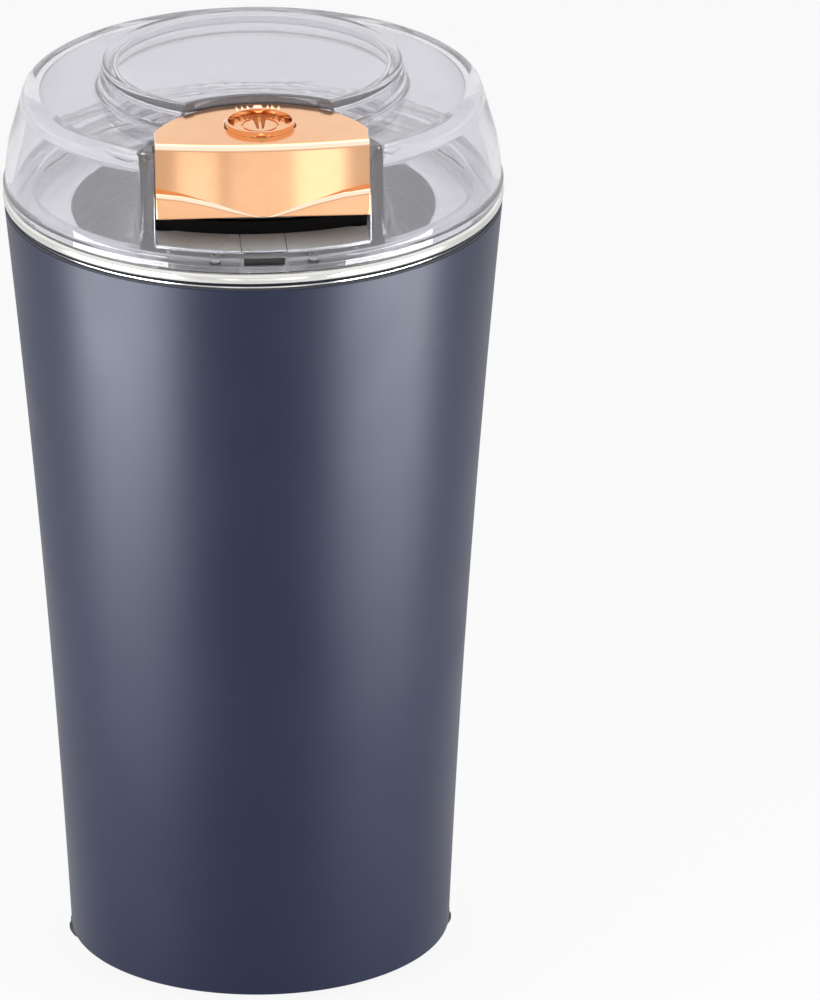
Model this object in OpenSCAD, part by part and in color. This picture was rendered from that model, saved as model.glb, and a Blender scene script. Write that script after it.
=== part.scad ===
/* [Body] */
// Outer radius of the sleeve at its hem
hem_r = 36.1; // [35.9:0.1:36.3]
// Height of the sleeve from its hem to its top edge
sleeve_h = 147.6; // [147:0.1:148.2]
// Outer radius of the sleeve at its top edge
top_r = 46.8; // [46.7:0.05:46.9]
// How far the sleeve's side bows in from a straight cone, at mid height
side_bow = 0.9; // [0.7:0.05:1.1]
// Wall of the pressed steel sleeve
sleeve_t = 0.7; // [0.6:0.05:0.8]
// Height of the hem above the table
hem_z = 2; // [1.8:0.1:2.2]

/* [Rim] */
// Height of the bright rim ring
ring_h = 3.3; // [3.1:0.1:3.5]
// Outer radius of the rim ring
ring_r = 47.05; // [47:0.05:47.2]

/* [Lid] */
// Gap between the rim ring and the closed lid
lid_gap = 0.3; // [0.25:0.05:0.4]
// Height of the lid's shoulder above its lower edge
shoulder_h = 20; // [19.5:0.1:20.5]
// Height of the lid's raised centre above its lower edge
boss_h = 24.9; // [24.5:0.1:25.3]
// Radius of the raised centre at its top
boss_r = 28.05; // [27.8:0.05:28.3]
// Wall of the clear lid
lid_t = 2.2; // [2:0.1:2.3]

/* [Button] */
// Half of the width of the recess that the button sits in
pocket_half = 20; // [20:0.05:20.3]
// Half of the width of the button cap
cap_half = 19.8; // [19.6:0.05:19.8]
// Height of the button cap
cap_h = 12.9; // [12.5:0.1:13]
// Depth of the cap's plain front plate at the centre of the recess
cap_front = 43; // [42.8:0.1:43]
// Radius of the cap's curved back
cap_back_r = 21; // [20.8:0.05:21]

/* [Bowl and blade] */
// Inside radius of the grinding bowl
bowl_r = 34; // [33.5:0.1:34]
// Depth of the grinding bowl under its flange
bowl_depth = 37.2; // [37:0.1:37.4]
// Radius of the circle that the blade tips sweep
blade_r = 29; // [26:0.5:30]

/* [Hidden] */
$fn = 64;
fit = 0.05;             // radial running and locating clearance
eps = 0.01;

// Sleeve
body_h = hem_z + sleeve_h;
bow_k = 4 * side_bow / (sleeve_h * sleeve_h);
sleeve_steps = 12;
port_z = 17;            // height of the cord port
function sleeve_r(z) =
    hem_r + (top_r - hem_r) * (z - hem_z) / sleeve_h - bow_k * (z - hem_z) * (body_h - z);
function inner_r(z) = sleeve_r(z) - sleeve_t;

// Base and feet
foot_h = 3.4;
foot_r = 4.2;
foot_at = [32.2, 26.5];  // the two side feet stand further out than the front and back ones
foot_neck_r = 2.2;
plate_z = foot_h;
plate_t = 2.6;
plate_r = 35.2;
plate_top = plate_z + plate_t;
base_screw_at = 27;

// Inner frame, a tube that joins the base to the motor bracket
frame_in_r = 32.4;
frame_out_r = 34.4;

// Bowl, its flange and the collar under it
bowl_t = 0.8;
bowl_corner = 8;
flange_z = body_h - 0.4;
flange_r = 43.2;
bowl_z = flange_z - bowl_depth;
collar_t = 4;
collar_z = flange_z - collar_t;
collar_r = 44.9;
tube_in_r = 38;
tube_out_r = 39.8;
collar_screw_at = 39.2;

// Motor bracket and the neck that passes through the bowl floor
washer_t = 3;
bracket_t = 3;
bracket_top = bowl_z - washer_t;
bracket_z = bracket_top - bracket_t;
bracket_r = 41;
neck_r = 7;
neck_top = bowl_z + 2.9;
bracket_screw_at = 30.2;

// Motor
shaft_r = 3;
bush_r = 5;
bolt_at = 25.5;
post_r = 3.2;
core_h = 24;
core_top = bracket_z - 24;
core_z = core_top - core_h;
stator_r = 23;
bore_r = 13.6;
armature_r = 13;
coil_out_r = 19.2;
coil_in_r = 14;
coil_end = 5;
commutator_r = 6.2;
commutator_z = core_z - 14;
commutator_h = 7.4;
lower_z = core_z - 23;
lower_t = 3;
lower_r = 28.5;
brush_z = commutator_z + 4.4;
holder_half_z = 3.4;

// Blade
hub_z = neck_top + 0.5;
blade_z = hub_z + 2.8;
blade_t = 1.2;
leaf_at = 6.6;

// Rim ring and lid levels
ring_top = body_h + ring_h;
ring_in_r = 43.4;
lid_z = ring_top + lid_gap;
shoulder_z = lid_z + shoulder_h;
lid_top = lid_z + boss_h;
floor_z = lid_z + 3.6;
floor_t = 1.4;
under_floor = floor_z - floor_t;

// Button recess: its back is an arc about this point
arc_y = -41.4;
pocket_arc = cap_back_r + 0.9;
pocket_wall = 2;
cap_z = floor_z + 7;
cap_top = cap_z + cap_h;
cap_t = 1.4;
cap_face_r = 50;
vee_rise = 4.9;
guide_front = -35.4;
guide_half = 18.5;
guide_arc = 21.4;
guide_t = 1.5;
guide_h = 4;
boss_x = 15;
spring_x = 9.2;
spring_y = -29.8;
stem_half = 3.8;
stem_back = -30.5;
stem_front = -33.5;
foot_front = -43;
foot_t = 2;
foot_z = lid_z - 0.3;
carrier_z = cap_z - 3.2;
spring_top = carrier_z + 7.4;

// Interlock pin and switch
pin_y = -39.6;
pin_r = 1.8;
head_r = 2.45;
guide_z = collar_z - 7.2;
counter_z = collar_z - 4.2;
head_z = flange_z + 1;
pin_top = foot_z - 0.3;
pin_low = guide_z - 2.5;
lever_top = pin_low - 0.3;
lever_t = 0.6;
pivot_x = -10.9;
pivot_z = lever_top - 0.8;
pivot_r = 0.6;
switch_x0 = -11.9;
switch_x1 = 7.1;
switch_y0 = -41.6;
switch_y1 = -35.8;
switch_top = lever_top - 4.2;
switch_low = switch_top - 9;
switch_plunger_x = -4;

// Circuit board
board_z = 12;
board_t = 1.6;
board_top = board_z + board_t;
board_y = -17;

// Shared shapes

module at_z(z) { translate([0, 0, z]) children(); }

module disc(r, z0, z1) { at_z(z0) cylinder(r = r, h = z1 - z0); }

module ring(r_in, r_out, z0, z1) {
    difference() {
        disc(r_out, z0, z1);
        disc(r_in, z0 - 1, z1 + 1);
    }
}

module box(x0, x1, y0, y1, z0, z1) {
    translate([x0, y0, z0]) cube([x1 - x0, y1 - y0, z1 - z0]);
}

// Places of the four feet
module at_feet() {
    for (turn = [0:90:270]) rotate(turn) translate([foot_at[turn % 180 / 90], 0, 0]) children();
}

// Copies at equal angles on a circle
module around(count, r, start = 0) {
    for (i = [0:count - 1]) {
        rotate(start + 360 * i / count) translate([r, 0, 0]) children();
    }
}

module pair_x(x) {
    for (s = [-1, 1]) translate([s * x, 0, 0]) children();
}

// Screw along Z: the head lies on z_seat and the shank ends at z_tip
module screw(shank_r, pan_r, pan_h, z_seat, z_tip) {
    up = z_seat > z_tip;
    z_in = z_seat + (up ? 0.3 : -0.3);
    disc(shank_r, min(z_in, z_tip), max(z_in, z_tip));
    difference() {
        disc(pan_r, up ? z_seat : z_seat - pan_h, up ? z_seat + pan_h : z_seat);
        at_z(up ? z_seat + pan_h - 0.6 : z_seat - pan_h - 0.6) {
            cube([pan_r * 1.2, 0.6, 1.2 + eps], center = true);
            cube([0.6, pan_r * 1.2, 1.2 + eps], center = true);
        }
    }
}

// Helical wire that stands on z = 0
module coil(mean_r, wire_r, turns, h, steps = 14, sides = 6) {
    n = turns * steps;
    rise = (h - 2 * wire_r) / n;
    points = [for (i = [0:n], k = [0:sides - 1])
        let (a = 360 * i / steps, b = 360 * k / sides, r = mean_r + wire_r * cos(b))
        [r * cos(a), r * sin(a), wire_r + rise * i + wire_r * sin(b)]];
    sweep_skin(points, n, sides);
}

// Closed skin over n + 1 rings of points
module sweep_skin(points, n, sides) {
    start = [[for (k = [0:sides - 1]) sides - 1 - k]];
    side = [for (i = [0:n - 1], k = [0:sides - 1])
        let (a = i * sides + k, b = i * sides + (k + 1) % sides)
        [a, b, b + sides, a + sides]];
    end = [[for (k = [0:sides - 1]) n * sides + k]];
    polyhedron(points, concat(start, side, end), convexity = 10);
}

function unit(v) = v / norm(v);
function smooth_at(p, i, t) =
    let (n = len(p) - 1, a = p[max(i - 1, 0)], b = p[i], c = p[min(i + 1, n)], d = p[min(i + 2, n)])
    0.5 * (2 * b + (c - a) * t + (2 * a - 5 * b + 4 * c - d) * t * t
        + (3 * b - a - 3 * c + d) * t * t * t);

// Round insulated wire along hand-placed points, smoothed between them
module wire(route, r = 0.8, per_span = 4, sides = 8, side_ref = [1, 0, 0.02]) {
    spans = len(route) - 1;
    path = [for (i = [0:spans - 1], k = [0:per_span - 1]) smooth_at(route, i, k / per_span)];
    line = concat(path, [route[spans]]);
    n = len(line) - 1;
    points = [for (i = [0:n], k = [0:sides - 1])
        let (d = unit(line[min(i + 1, n)] - line[max(i - 1, 0)]),
            u = unit(cross(d, side_ref)), v = cross(d, u), a = 360 * k / sides)
        line[i] + r * (cos(a) * u + sin(a) * v)];
    sweep_skin(points, n, sides);
}

// Flat wedge with its point on the axis, from angle a0 to a1 (under 180 degrees apart)
module wedge(r, a0, a1) {
    mid = (a0 + a1) / 2;
    polygon([[0, 0], r * [cos(a0), sin(a0)], 1.6 * r * [cos(mid), sin(mid)], r * [cos(a1), sin(a1)]]);
}

module ring_sector(r_in, r_out, a0, a1) {
    intersection() {
        difference() {
            circle(r_out);
            circle(r_in);
        }
        wedge(r_out * 1.5, a0, a1);
    }
}

// Flat shape between a straight front and an arc at the back of the button recess
module recess_plan(half, front, arc) {
    intersection() {
        translate([-half, front]) square([2 * half, 60]);
        translate([0, arc_y]) circle(arc, $fn = 96);
    }
}

// Body

module outer_sleeve() {
    color([0.29, 0.31, 0.4])
    difference() {
        rotate_extrude($fn = 128) {
            zs = [for (i = [0:sleeve_steps]) hem_z + (body_h - hem_z) * i / sleeve_steps];
            polygon(concat(
                [for (z = zs) [sleeve_r(z), z]],
                [for (i = [sleeve_steps:-1:0]) [inner_r(zs[i]), zs[i]]]));
            translate([hem_r - 2.1, hem_z]) square([2, sleeve_t]);
        }
        at_feet() disc(foot_r + 0.4, 0, foot_h + 0.6);
        translate([0, hem_r, port_z]) rotate([-90, 0, 0])
            cylinder(r = 4.7, h = 20, center = true);
    }
}

module rim_ring() {
    color([0.85, 0.84, 0.8])
    rotate_extrude($fn = 128)
        polygon([[ring_in_r, body_h], [ring_in_r, ring_top - 0.4], [ring_in_r + 0.4, ring_top],
            [ring_r - 0.7, ring_top], [ring_r - 0.2, ring_top - 0.3], [ring_r, ring_top - 0.9],
            [ring_r, body_h + 0.6], [ring_r - 0.25, body_h], [45.6, body_h],
            [45.6, collar_z + 1], [45, collar_z + 1], [45, body_h]]);
}

module top_collar() {
    tube_z = bracket_top + 0.5;
    window_z = bracket_top + 8;
    color([0.1, 0.1, 0.11])
    difference() {
        union() {
            difference() {
                rotate_extrude($fn = 96)
                    polygon([[tube_in_r, tube_z], [tube_out_r, tube_z], [tube_out_r, collar_z],
                        [collar_r, collar_z], [collar_r, flange_z], [bowl_r + 1, flange_z],
                        [bowl_r + 1, collar_z], [tube_in_r, collar_z]]);
                box(-14.6, 14.6, -50, -30, window_z, collar_z - 0.6);
            }
            around(4, collar_screw_at, 45) disc(2.6, bracket_top, bracket_top + 14);
            translate([0, pin_y, 0]) disc(4.2, guide_z, flange_z - 1);
            box(-14.2, switch_x0 - 0.2, -41, -36.6, switch_low, collar_z + 1);
            box(switch_x1 + 0.2, 9.4, -41.6, -36.6, switch_low, collar_z + 1);
        }
        around(4, collar_screw_at, 45) disc(1.1, bracket_top - 1, bracket_top + 12);
        translate([0, pin_y, 0]) {
            disc(pin_r + fit, guide_z - 1, flange_z + 1);
            disc(2.9, counter_z, flange_z + 1);
        }
    }
}

module collar_screws() {
    color("silver")
    around(4, collar_screw_at, 45) screw(1.05, 2.3, 1.6, bracket_z, bracket_top + 11);
}

module grinding_bowl() {
    color([0.78, 0.79, 0.8])
    difference() {
        rotate_extrude($fn = 128) {
            low_r = bowl_r - bowl_corner;
            corner_z = bowl_z + bowl_t + bowl_corner;
            inside = [for (a = [0:15:90]) [low_r + bowl_corner * cos(a), corner_z - bowl_corner * sin(a)]];
            outer = bowl_corner + bowl_t;
            outside = [for (a = [90:-15:0]) [low_r + outer * cos(a), corner_z - outer * sin(a)]];
            polygon(concat(
                [[flange_r, flange_z + bowl_t], [bowl_r, flange_z + bowl_t]],
                inside,
                [[neck_r + 0.1, bowl_z + bowl_t], [neck_r + 0.1, bowl_z]],
                outside,
                [[bowl_r + bowl_t, flange_z], [flange_r, flange_z]]));
        }
        translate([0, pin_y, 0]) disc(2.7, flange_z - 1, flange_z + 2);
    }
}

module bowl_washer() {
    color([0.15, 0.15, 0.16])
    ring(neck_r + 0.1, 12, bracket_top, bowl_z);
}

module bowl_nut() {
    color("silver")
    difference() {
        at_z(bowl_z + bowl_t) cylinder(r = 11, h = 2, $fn = 6);
        disc(neck_r + fit, bowl_z, neck_top + 1);
    }
}

module motor_bracket() {
    color([0.7, 0.71, 0.72])
    difference() {
        union() {
            disc(bracket_r, bracket_z, bracket_top);
            disc(neck_r, bracket_top - eps, neck_top);
            pair_x(bolt_at) disc(post_r, core_top, bracket_z + eps);
        }
        disc(bush_r + 0.02, bracket_z - 1, neck_top + 1);
        pair_x(bolt_at) disc(1.55, core_top - 1, bracket_top + 1);
        around(4, bracket_screw_at, 45) disc(1.7, bracket_z - 1, bracket_top + 1);
        around(4, collar_screw_at, 45) disc(1.3, bracket_z - 1, bracket_top + 1);
        box(-6, 6, -50, -29, bracket_z - 1, bracket_top + 1);
    }
}

module bracket_screws() {
    color("silver")
    around(4, bracket_screw_at, 45) screw(1.45, 2.8, 1.8, bracket_top, bracket_z - 9);
}

module upper_bearing() {
    color([0.72, 0.55, 0.3])
    ring(shaft_r + fit, bush_r, bracket_z, neck_top - 1.6);
}

module shaft_seal() {
    color([0.2, 0.2, 0.2])
    ring(shaft_r + fit, bush_r, neck_top - 1.5, neck_top - 0.1);
}

module inner_frame() {
    color([0.85, 0.85, 0.82])
    difference() {
        union() {
            ring(frame_in_r, frame_out_r, plate_top, bracket_z);
            ring(29.2, frame_in_r + 0.5, bracket_z - 3, bracket_z);
            around(4, bracket_screw_at, 45) disc(3, bracket_z - 12, bracket_z);
            around(4, base_screw_at, 45) {
                disc(3.2, plate_top, plate_top + 14);
                box(1, frame_in_r - base_screw_at + 1, -2, 2, plate_top, plate_top + 14);
            }
        }
        around(4, bracket_screw_at, 45) disc(1.5, bracket_z - 10, bracket_z + 1);
        around(4, base_screw_at, 45) disc(1.5, plate_top - 1, plate_top + 12);
        at_feet() disc(3.2, plate_top - 1, plate_top + 2.2);
        around(4, frame_in_r) box(-3, 4, -13, 13, 38, 88);
        translate([0, frame_in_r, port_z]) rotate([-90, 0, 0])
            cylinder(r = 4.7, h = 10, center = true);
        box(-6, 6, -50, -29, bracket_z - 14, bracket_z + 1);
    }
}

// Motor

module stator_core() {
    color([0.45, 0.46, 0.48])
    at_z(core_z) linear_extrude(core_h) difference() {
        circle(stator_r, $fn = 96);
        circle(bore_r);
        ring_sector(bore_r - 1, coil_out_r + 0.3, 50, 130);
        ring_sector(bore_r - 1, coil_out_r + 0.3, 230, 310);
    }
}

module field_coils() {
    color([0.72, 0.4, 0.2])
    for (turn = [0, 180]) rotate(turn) {
        for (side = [0, 1]) mirror([0, side, 0]) {
            at_z(core_z - coil_end) linear_extrude(core_h + 2 * coil_end)
                ring_sector(coil_in_r, coil_out_r, 52, 68);
        }
        for (z = [core_z - coil_end, core_top + 0.4]) {
            at_z(z) linear_extrude(coil_end - 0.4) {
                ring_sector(coil_in_r, coil_out_r, -68, 0);
                ring_sector(coil_in_r, coil_out_r, -1, 68);
            }
        }
    }
}

module lower_bracket() {
    color([0.16, 0.16, 0.17])
    difference() {
        union() {
            disc(lower_r, lower_z, lower_z + lower_t);
            disc(8, lower_z - 4, lower_z + 5);
            pair_x(bolt_at) disc(post_r, lower_z, core_z);
            ring(22, lower_r, core_z - 3, core_z);
            for (s = [-1, 1]) box(-4.6, 4.6, s * 14 - 5, s * 14 + 5, lower_z, brush_z - holder_half_z);
        }
        disc(bush_r + 0.02, lower_z - 2.6, lower_z + 6);
        pair_x(bolt_at) disc(1.55, lower_z - 1, core_z + 1);
        around(4, 18, 45) disc(3.6, lower_z - 1, lower_z + lower_t + 1);
    }
}

module lower_bearing() {
    color([0.72, 0.55, 0.3])
    ring(shaft_r + fit, bush_r, lower_z - 2, lower_z + 5);
}

module motor_bolts() {
    color("silver")
    pair_x(bolt_at) screw(1.5, 2.9, 2.2, lower_z, bracket_top - 0.2);
}

module brush_pair() {
    for (turn = [0, 180]) rotate(turn) children();
}

module brush_holders() {
    color([0.8, 0.65, 0.3])
    brush_pair() difference() {
        box(-3.4, 3.4, 8.2, 21, brush_z - holder_half_z, brush_z + holder_half_z);
        box(-2.55, 2.55, 7, 20.2, brush_z - 2.55, brush_z + 2.55);
    }
}

module carbon_brushes() {
    color([0.12, 0.12, 0.13])
    brush_pair() box(-2.5, 2.5, commutator_r + 0.3, 14.5, brush_z - 2.5, brush_z + 2.5);
}

module brush_springs() {
    color("silver")
    brush_pair() translate([0, 14.6, brush_z]) rotate([-90, 0, 0]) coil(1.9, 0.25, 5, 5.5, 10);
}

module drive_shaft() {
    color("silver")
    union() {
        disc(shaft_r, lower_z - 1.6, blade_z);
        disc(2.5, blade_z - eps, blade_z + blade_t + 5);
    }
}

module armature_core() {
    color([0.4, 0.41, 0.43])
    at_z(core_z) linear_extrude(core_h) difference() {
        circle(armature_r);
        circle(shaft_r + 0.02);
        for (i = [0:11]) rotate(30 * i) translate([armature_r - 4, -1]) square([6, 2]);
    }
}

module armature_windings() {
    color([0.75, 0.42, 0.2])
    for (z = [core_z - 6.2, core_top + 0.2]) {
        at_z(z) rotate_extrude()
            polygon([[4.5, 0.8], [5.3, 0], [10.8, 0], [12.2, 1.4], [12.2, 4.6], [10.8, 6],
                [5.3, 6], [4.5, 5.2]]);
    }
}

module commutator() {
    color([0.75, 0.48, 0.3])
    at_z(commutator_z) linear_extrude(commutator_h) difference() {
        circle(commutator_r);
        circle(shaft_r + 0.02);
        for (i = [0:11]) rotate(30 * i) translate([commutator_r - 0.8, -0.25]) square([2, 0.5]);
    }
}

module cooling_fan() {
    fan_z = core_top + 8.5;
    fan_h = 9.5;
    color([0.2, 0.2, 0.22])
    difference() {
        union() {
            disc(6, fan_z, fan_z + fan_h);
            disc(21, fan_z + fan_h - 1.2, fan_z + fan_h);
            for (i = [0:9]) rotate(36 * i) box(5, 20.5, -0.6, 0.6, fan_z, fan_z + fan_h - 1);
        }
        disc(shaft_r + 0.02, fan_z - 1, fan_z + fan_h + 1);
    }
}

module blade_spacer() {
    color("silver")
    ring(shaft_r + 0.02, 5, hub_z, blade_z);
}

// One leaf of the blade, bent up or down from the flat centre
module blade_leaf(length, tilt) {
    span = length - leaf_at;
    translate([leaf_at, 0, 0]) rotate([0, -tilt, 0]) linear_extrude(blade_t)
        polygon([[-0.5, -4.2], [span - 4, -4.2], [span, -1.5], [span, 1.5], [span - 9, 4.2],
            [-0.5, 4.2]]);
}

module blade() {
    color([0.82, 0.83, 0.84])
    at_z(blade_z) difference() {
        union() {
            cylinder(r = 8.2, h = blade_t);
            for (turn = [0, 180]) rotate(turn) blade_leaf(blade_r, 20);
            for (turn = [90, 270]) rotate(turn) blade_leaf(blade_r, 4);
        }
        disc(2.52, -3, 5);
    }
}

module blade_nut() {
    color("silver")
    at_z(blade_z + blade_t) difference() {
        union() {
            cylinder(r = 5, h = 3.4, $fn = 6);
            disc(3.6, 3.4 - eps, 5.8);
        }
        disc(2.52, -1, 5.1);
    }
}

// Base, feet and electrics

module base_plate() {
    color([0.08, 0.08, 0.09])
    difference() {
        union() {
            disc(plate_r, plate_z, plate_top);
            ring(33, plate_r, hem_z + sleeve_t + 0.1, plate_z + eps);
            for (s = [-1, 1]) {
                translate([s * 12.2, board_y, 0]) disc(2.6, plate_z + 1, board_z);
                translate([s * 8.5, 20, 0]) disc(3, plate_z + 1, plate_top + 3.5);
            }
        }
        at_feet() {
            disc(foot_neck_r + fit, 0, plate_top + 1);
            disc(foot_r + 0.3, 0, foot_h);
        }
        around(4, base_screw_at, 45) disc(1.7, 0, plate_top + 1);
        for (s = [-1, 1]) {
            translate([s * 12.2, board_y, 0]) disc(1.1, plate_top, board_z + 1);
            translate([s * 8.5, 20, 0]) disc(1.1, plate_top, plate_top + 5);
        }
        for (i = [-2:2]) box(-9, 9, i * 5 - 1.2, i * 5 + 1.2, 0, plate_top + 1);
    }
}

module base_screws() {
    color("silver")
    around(4, base_screw_at, 45) screw(1.45, 2.9, 1.6, plate_z, plate_top + 11);
}

module rubber_feet() {
    color([0.06, 0.06, 0.07])
    at_feet() rotate_extrude()
        polygon([[0, 0], [3.4, 0], [3.95, 0.35], [foot_r, 0.9], [foot_r, foot_h - 0.3],
            [foot_r - 0.3, foot_h], [foot_neck_r, foot_h], [foot_neck_r, plate_top + 0.05],
            [2.8, plate_top + 0.05], [2.3, plate_top + 1.6], [0, plate_top + 1.6]]);
}

module circuit_board() {
    color([0.1, 0.4, 0.2])
    difference() {
        box(-15.2, 15.2, board_y - 10, board_y + 10, board_z, board_top);
        pair_x(12.2) translate([0, board_y, 0]) disc(1.2, board_z - 1, board_top + 1);
    }
}

module board_screws() {
    color("silver")
    pair_x(12.2) translate([0, board_y, 0]) screw(1.05, 2, 1.3, board_top, board_z - 4);
}

module rectifier() {
    color([0.1, 0.1, 0.1])
    box(-11, -3, board_y - 8, board_y - 3.6, board_top, board_top + 8);
}

module suppressor_capacitor() {
    color([0.85, 0.7, 0.15])
    box(-1, 9, board_y - 8, board_y - 3, board_top, board_top + 9);
}

module terminal_block() {
    color([0.15, 0.35, 0.6])
    difference() {
        box(-7.5, 7.5, board_y + 2, board_y + 9.5, board_top, board_top + 8);
        for (x = [-5, 0, 5]) {
            translate([x, board_y + 5.6, 0]) disc(1.6, board_top + 4, board_top + 9);
        }
    }
}

module cord_gland() {
    color([0.07, 0.07, 0.08])
    translate([0, 0, port_z]) rotate([-90, 0, 0]) difference() {
        union() {
            disc(4.6, 27.6, 38);
            disc(6.2, 37.5, 38.9);
            disc(5.2, 38.5, 40.6);
        }
        disc(3.3, 26, 42);
    }
}

module gland_nut() {
    color([0.12, 0.12, 0.13])
    translate([0, 0, port_z]) rotate([-90, 0, 0]) difference() {
        at_z(28.4) cylinder(r = 6.9, h = 2.8, $fn = 6);
        disc(4.65, 27, 33);
    }
}

module cord_clamp() {
    clamp_z = plate_top + 3.5;
    color([0.85, 0.85, 0.82])
    difference() {
        box(-11.5, 11.5, 17, 23, clamp_z, clamp_z + 3.4);
        pair_x(8.5) translate([0, 20, 0]) disc(1.2, clamp_z - 1, clamp_z + 4);
        translate([0, 20, clamp_z - 0.6]) rotate([90, 0, 0])
            cylinder(r = 3, h = 10, center = true);
    }
}

module clamp_screws() {
    color("silver")
    pair_x(8.5) translate([0, 20, 0]) screw(1.05, 2, 1.3, plate_top + 6.9, plate_top + 0.5);
}

module motor_leads() {
    lead_r = 30.9;
    color([0.6, 0.1, 0.1])
    wire([[12, -25, 14.5], [11, -28, 22], [8, -29.8, lower_z - 3], [7, -29.6, lower_z + 5],
        [4, -26, brush_z - 2.4], [0, -21.9, brush_z]]);
    color([0.12, 0.12, 0.12])
    wire(concat(
        [[-12.5, -24.5, 14.5]],
        [for (i = [0:5]) let (a = 246 - 30 * i) [lead_r * cos(a), lead_r * sin(a), lower_z - 10 + 2.4 * i]],
        [[-4, 28, brush_z - 4.4], [0, 21.9, brush_z]]), side_ref = [0.02, 0, 1]);
}

module switch_leads() {
    for (s = [-1, 1]) {
        color([0.2, 0.2, 0.6])
        wire([[s * 3, -26.4, 14.5], [s * 3, -29.6, 24], [s * 3, -30.6, 40],
            [s * 3, -30.6, bracket_z - 12], [s * 3.2, -31.5, bracket_z - 3],
            [s * 3.8, -34.2, bracket_top + 0.5], [s * 4.5, -36, bowl_z + 2.5],
            [s * 4.6 - 0.6, -36.2, bowl_z + 6.5], [s * 5 - 1.6, -37.2, switch_low - 0.5]]);
    }
}

// Switch and interlock

module microswitch() {
    knob = 2.3;
    color([0.1, 0.1, 0.12])
    difference() {
        union() {
            box(switch_x0, switch_x1, switch_y0, switch_y1, switch_low, switch_top);
            box(switch_x0, switch_x0 + knob, switch_y0, switch_y0 + 1, switch_top - eps, pivot_z + 1.2);
            box(switch_x0, switch_x0 + knob, switch_y1 - 1, switch_y1, switch_top - eps, pivot_z + 1.2);
        }
        translate([pivot_x, -38, pivot_z]) rotate([90, 0, 0])
            cylinder(r = pivot_r + 0.02, h = 12, center = true);
        translate([switch_plunger_x, -38.7, 0]) disc(1 + fit, switch_top - 4, switch_top + 1);
    }
}

module lever_pin() {
    color("silver")
    translate([pivot_x, switch_y1, pivot_z]) rotate([90, 0, 0])
        cylinder(r = pivot_r, h = switch_y1 - switch_y0);
}

module switch_lever() {
    color([0.8, 0.8, 0.82])
    difference() {
        union() {
            box(pivot_x, 3, -40.4, -37, lever_top - lever_t, lever_top);
            translate([pivot_x, -37, pivot_z]) rotate([90, 0, 0]) cylinder(r = 1.1, h = 3.4);
        }
        translate([pivot_x, -38, pivot_z]) rotate([90, 0, 0])
            cylinder(r = pivot_r + fit, h = 12, center = true);
    }
}

module switch_plunger() {
    color([0.7, 0.1, 0.1])
    translate([switch_plunger_x, -38.7, 0]) disc(1, switch_top - 2, lever_top - lever_t - 0.3);
}

module interlock_pin() {
    color([0.85, 0.85, 0.85])
    translate([0, pin_y, 0]) difference() {
        union() {
            disc(1, pin_low, pin_low + 2);
            disc(pin_r, pin_low + 1, head_z + 0.5);
            disc(head_r, head_z, pin_top);
        }
        ring(1.4, 3, guide_z - 1, guide_z - 0.3);
    }
}

module pin_clip() {
    color("dimgray")
    translate([0, pin_y, 0]) difference() {
        ring(1.42, 3.2, guide_z - 0.95, guide_z - 0.35);
        box(-1.3, 1.3, -5, -0.2, guide_z - 2, guide_z + 1);
    }
}

module pin_spring() {
    color("silver")
    translate([0, pin_y, counter_z + 0.05]) coil(2.25, 0.25, 6, head_z - counter_z - 0.1);
}

// Lid

function lid_outer() = [
    [ring_r - 0.05, lid_z + 0.2], [ring_r - 0.05, lid_z + 1.2], [46.75, lid_z + 1.5],
    [46.5, lid_z + 4.3], [45.8, lid_z + 9.1], [44.4, lid_z + 14], [43.5, lid_z + 17.3],
    [43, lid_z + 18.9], [42.4, shoulder_z - 0.3], [41.9, shoulder_z]];

// Solid of the lid's outside, used to trim the walls of the button recess
module lid_envelope() {
    rotate_extrude($fn = 128)
        polygon(concat([[0, lid_z], [46.8, lid_z]], lid_outer(),
            [[boss_r + 0.85, shoulder_z], [boss_r + 0.1, lid_top - 0.7], [boss_r - 0.6, lid_top],
            [0, lid_top]]));
}

module lid_hollow() {
    wall = lid_t;
    rotate_extrude($fn = 128)
        polygon([[0, lid_z - 2], [41.2, lid_z - 2], [41.2, lid_z + 1.6], [44.75, lid_z + 1.6],
            [46.5 - wall, lid_z + 4.3], [45.8 - wall, lid_z + 9.1], [44.4 - wall, lid_z + 14],
            [43.3 - wall, lid_z + 16.6], [42.2 - wall, shoulder_z - wall],
            [boss_r - 1.5, shoulder_z - wall], [boss_r - 2, lid_top - wall], [0, lid_top - wall]]);
}

module lid_shell() {
    color([0.86, 0.86, 0.92, 0.35])
    difference() {
        union() {
            difference() {
                union() {
                    lid_envelope();
                    ring(41, 43.1, lid_z - 1.1, lid_z + 0.5);
                }
                lid_hollow();
            }
            intersection() {
                lid_envelope();
                at_z(under_floor) linear_extrude(40) union() {
                    recess_plan(pocket_half + pocket_wall, -50, pocket_arc + pocket_wall);
                    for (s = [0, 1]) mirror([s, 0]) {
                        translate([pocket_half, -50]) square([4.5, 50 - 37]);
                    }
                }
            }
        }
        at_z(floor_z) linear_extrude(40) recess_plan(pocket_half, -60, pocket_arc);
        at_z(floor_z) linear_extrude(40)
            translate([-pocket_half, -60]) square([2 * pocket_half, 60 + arc_y + 1]);
        box(-4.6, 4.6, -44.7, -38, lid_z - 2, under_floor);
        box(-stem_half, stem_half, -50, -44, lid_z + 1.2, lid_z + 2.7);
        box(-stem_half - 0.4, stem_half + 0.4, stem_front - 0.4, stem_back + 0.4,
            under_floor - 1, floor_z + 1);
        pair_x(boss_x) translate([0, -32.5, 0]) disc(1.3, under_floor - 1, floor_z + 1);
    }
}

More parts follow.
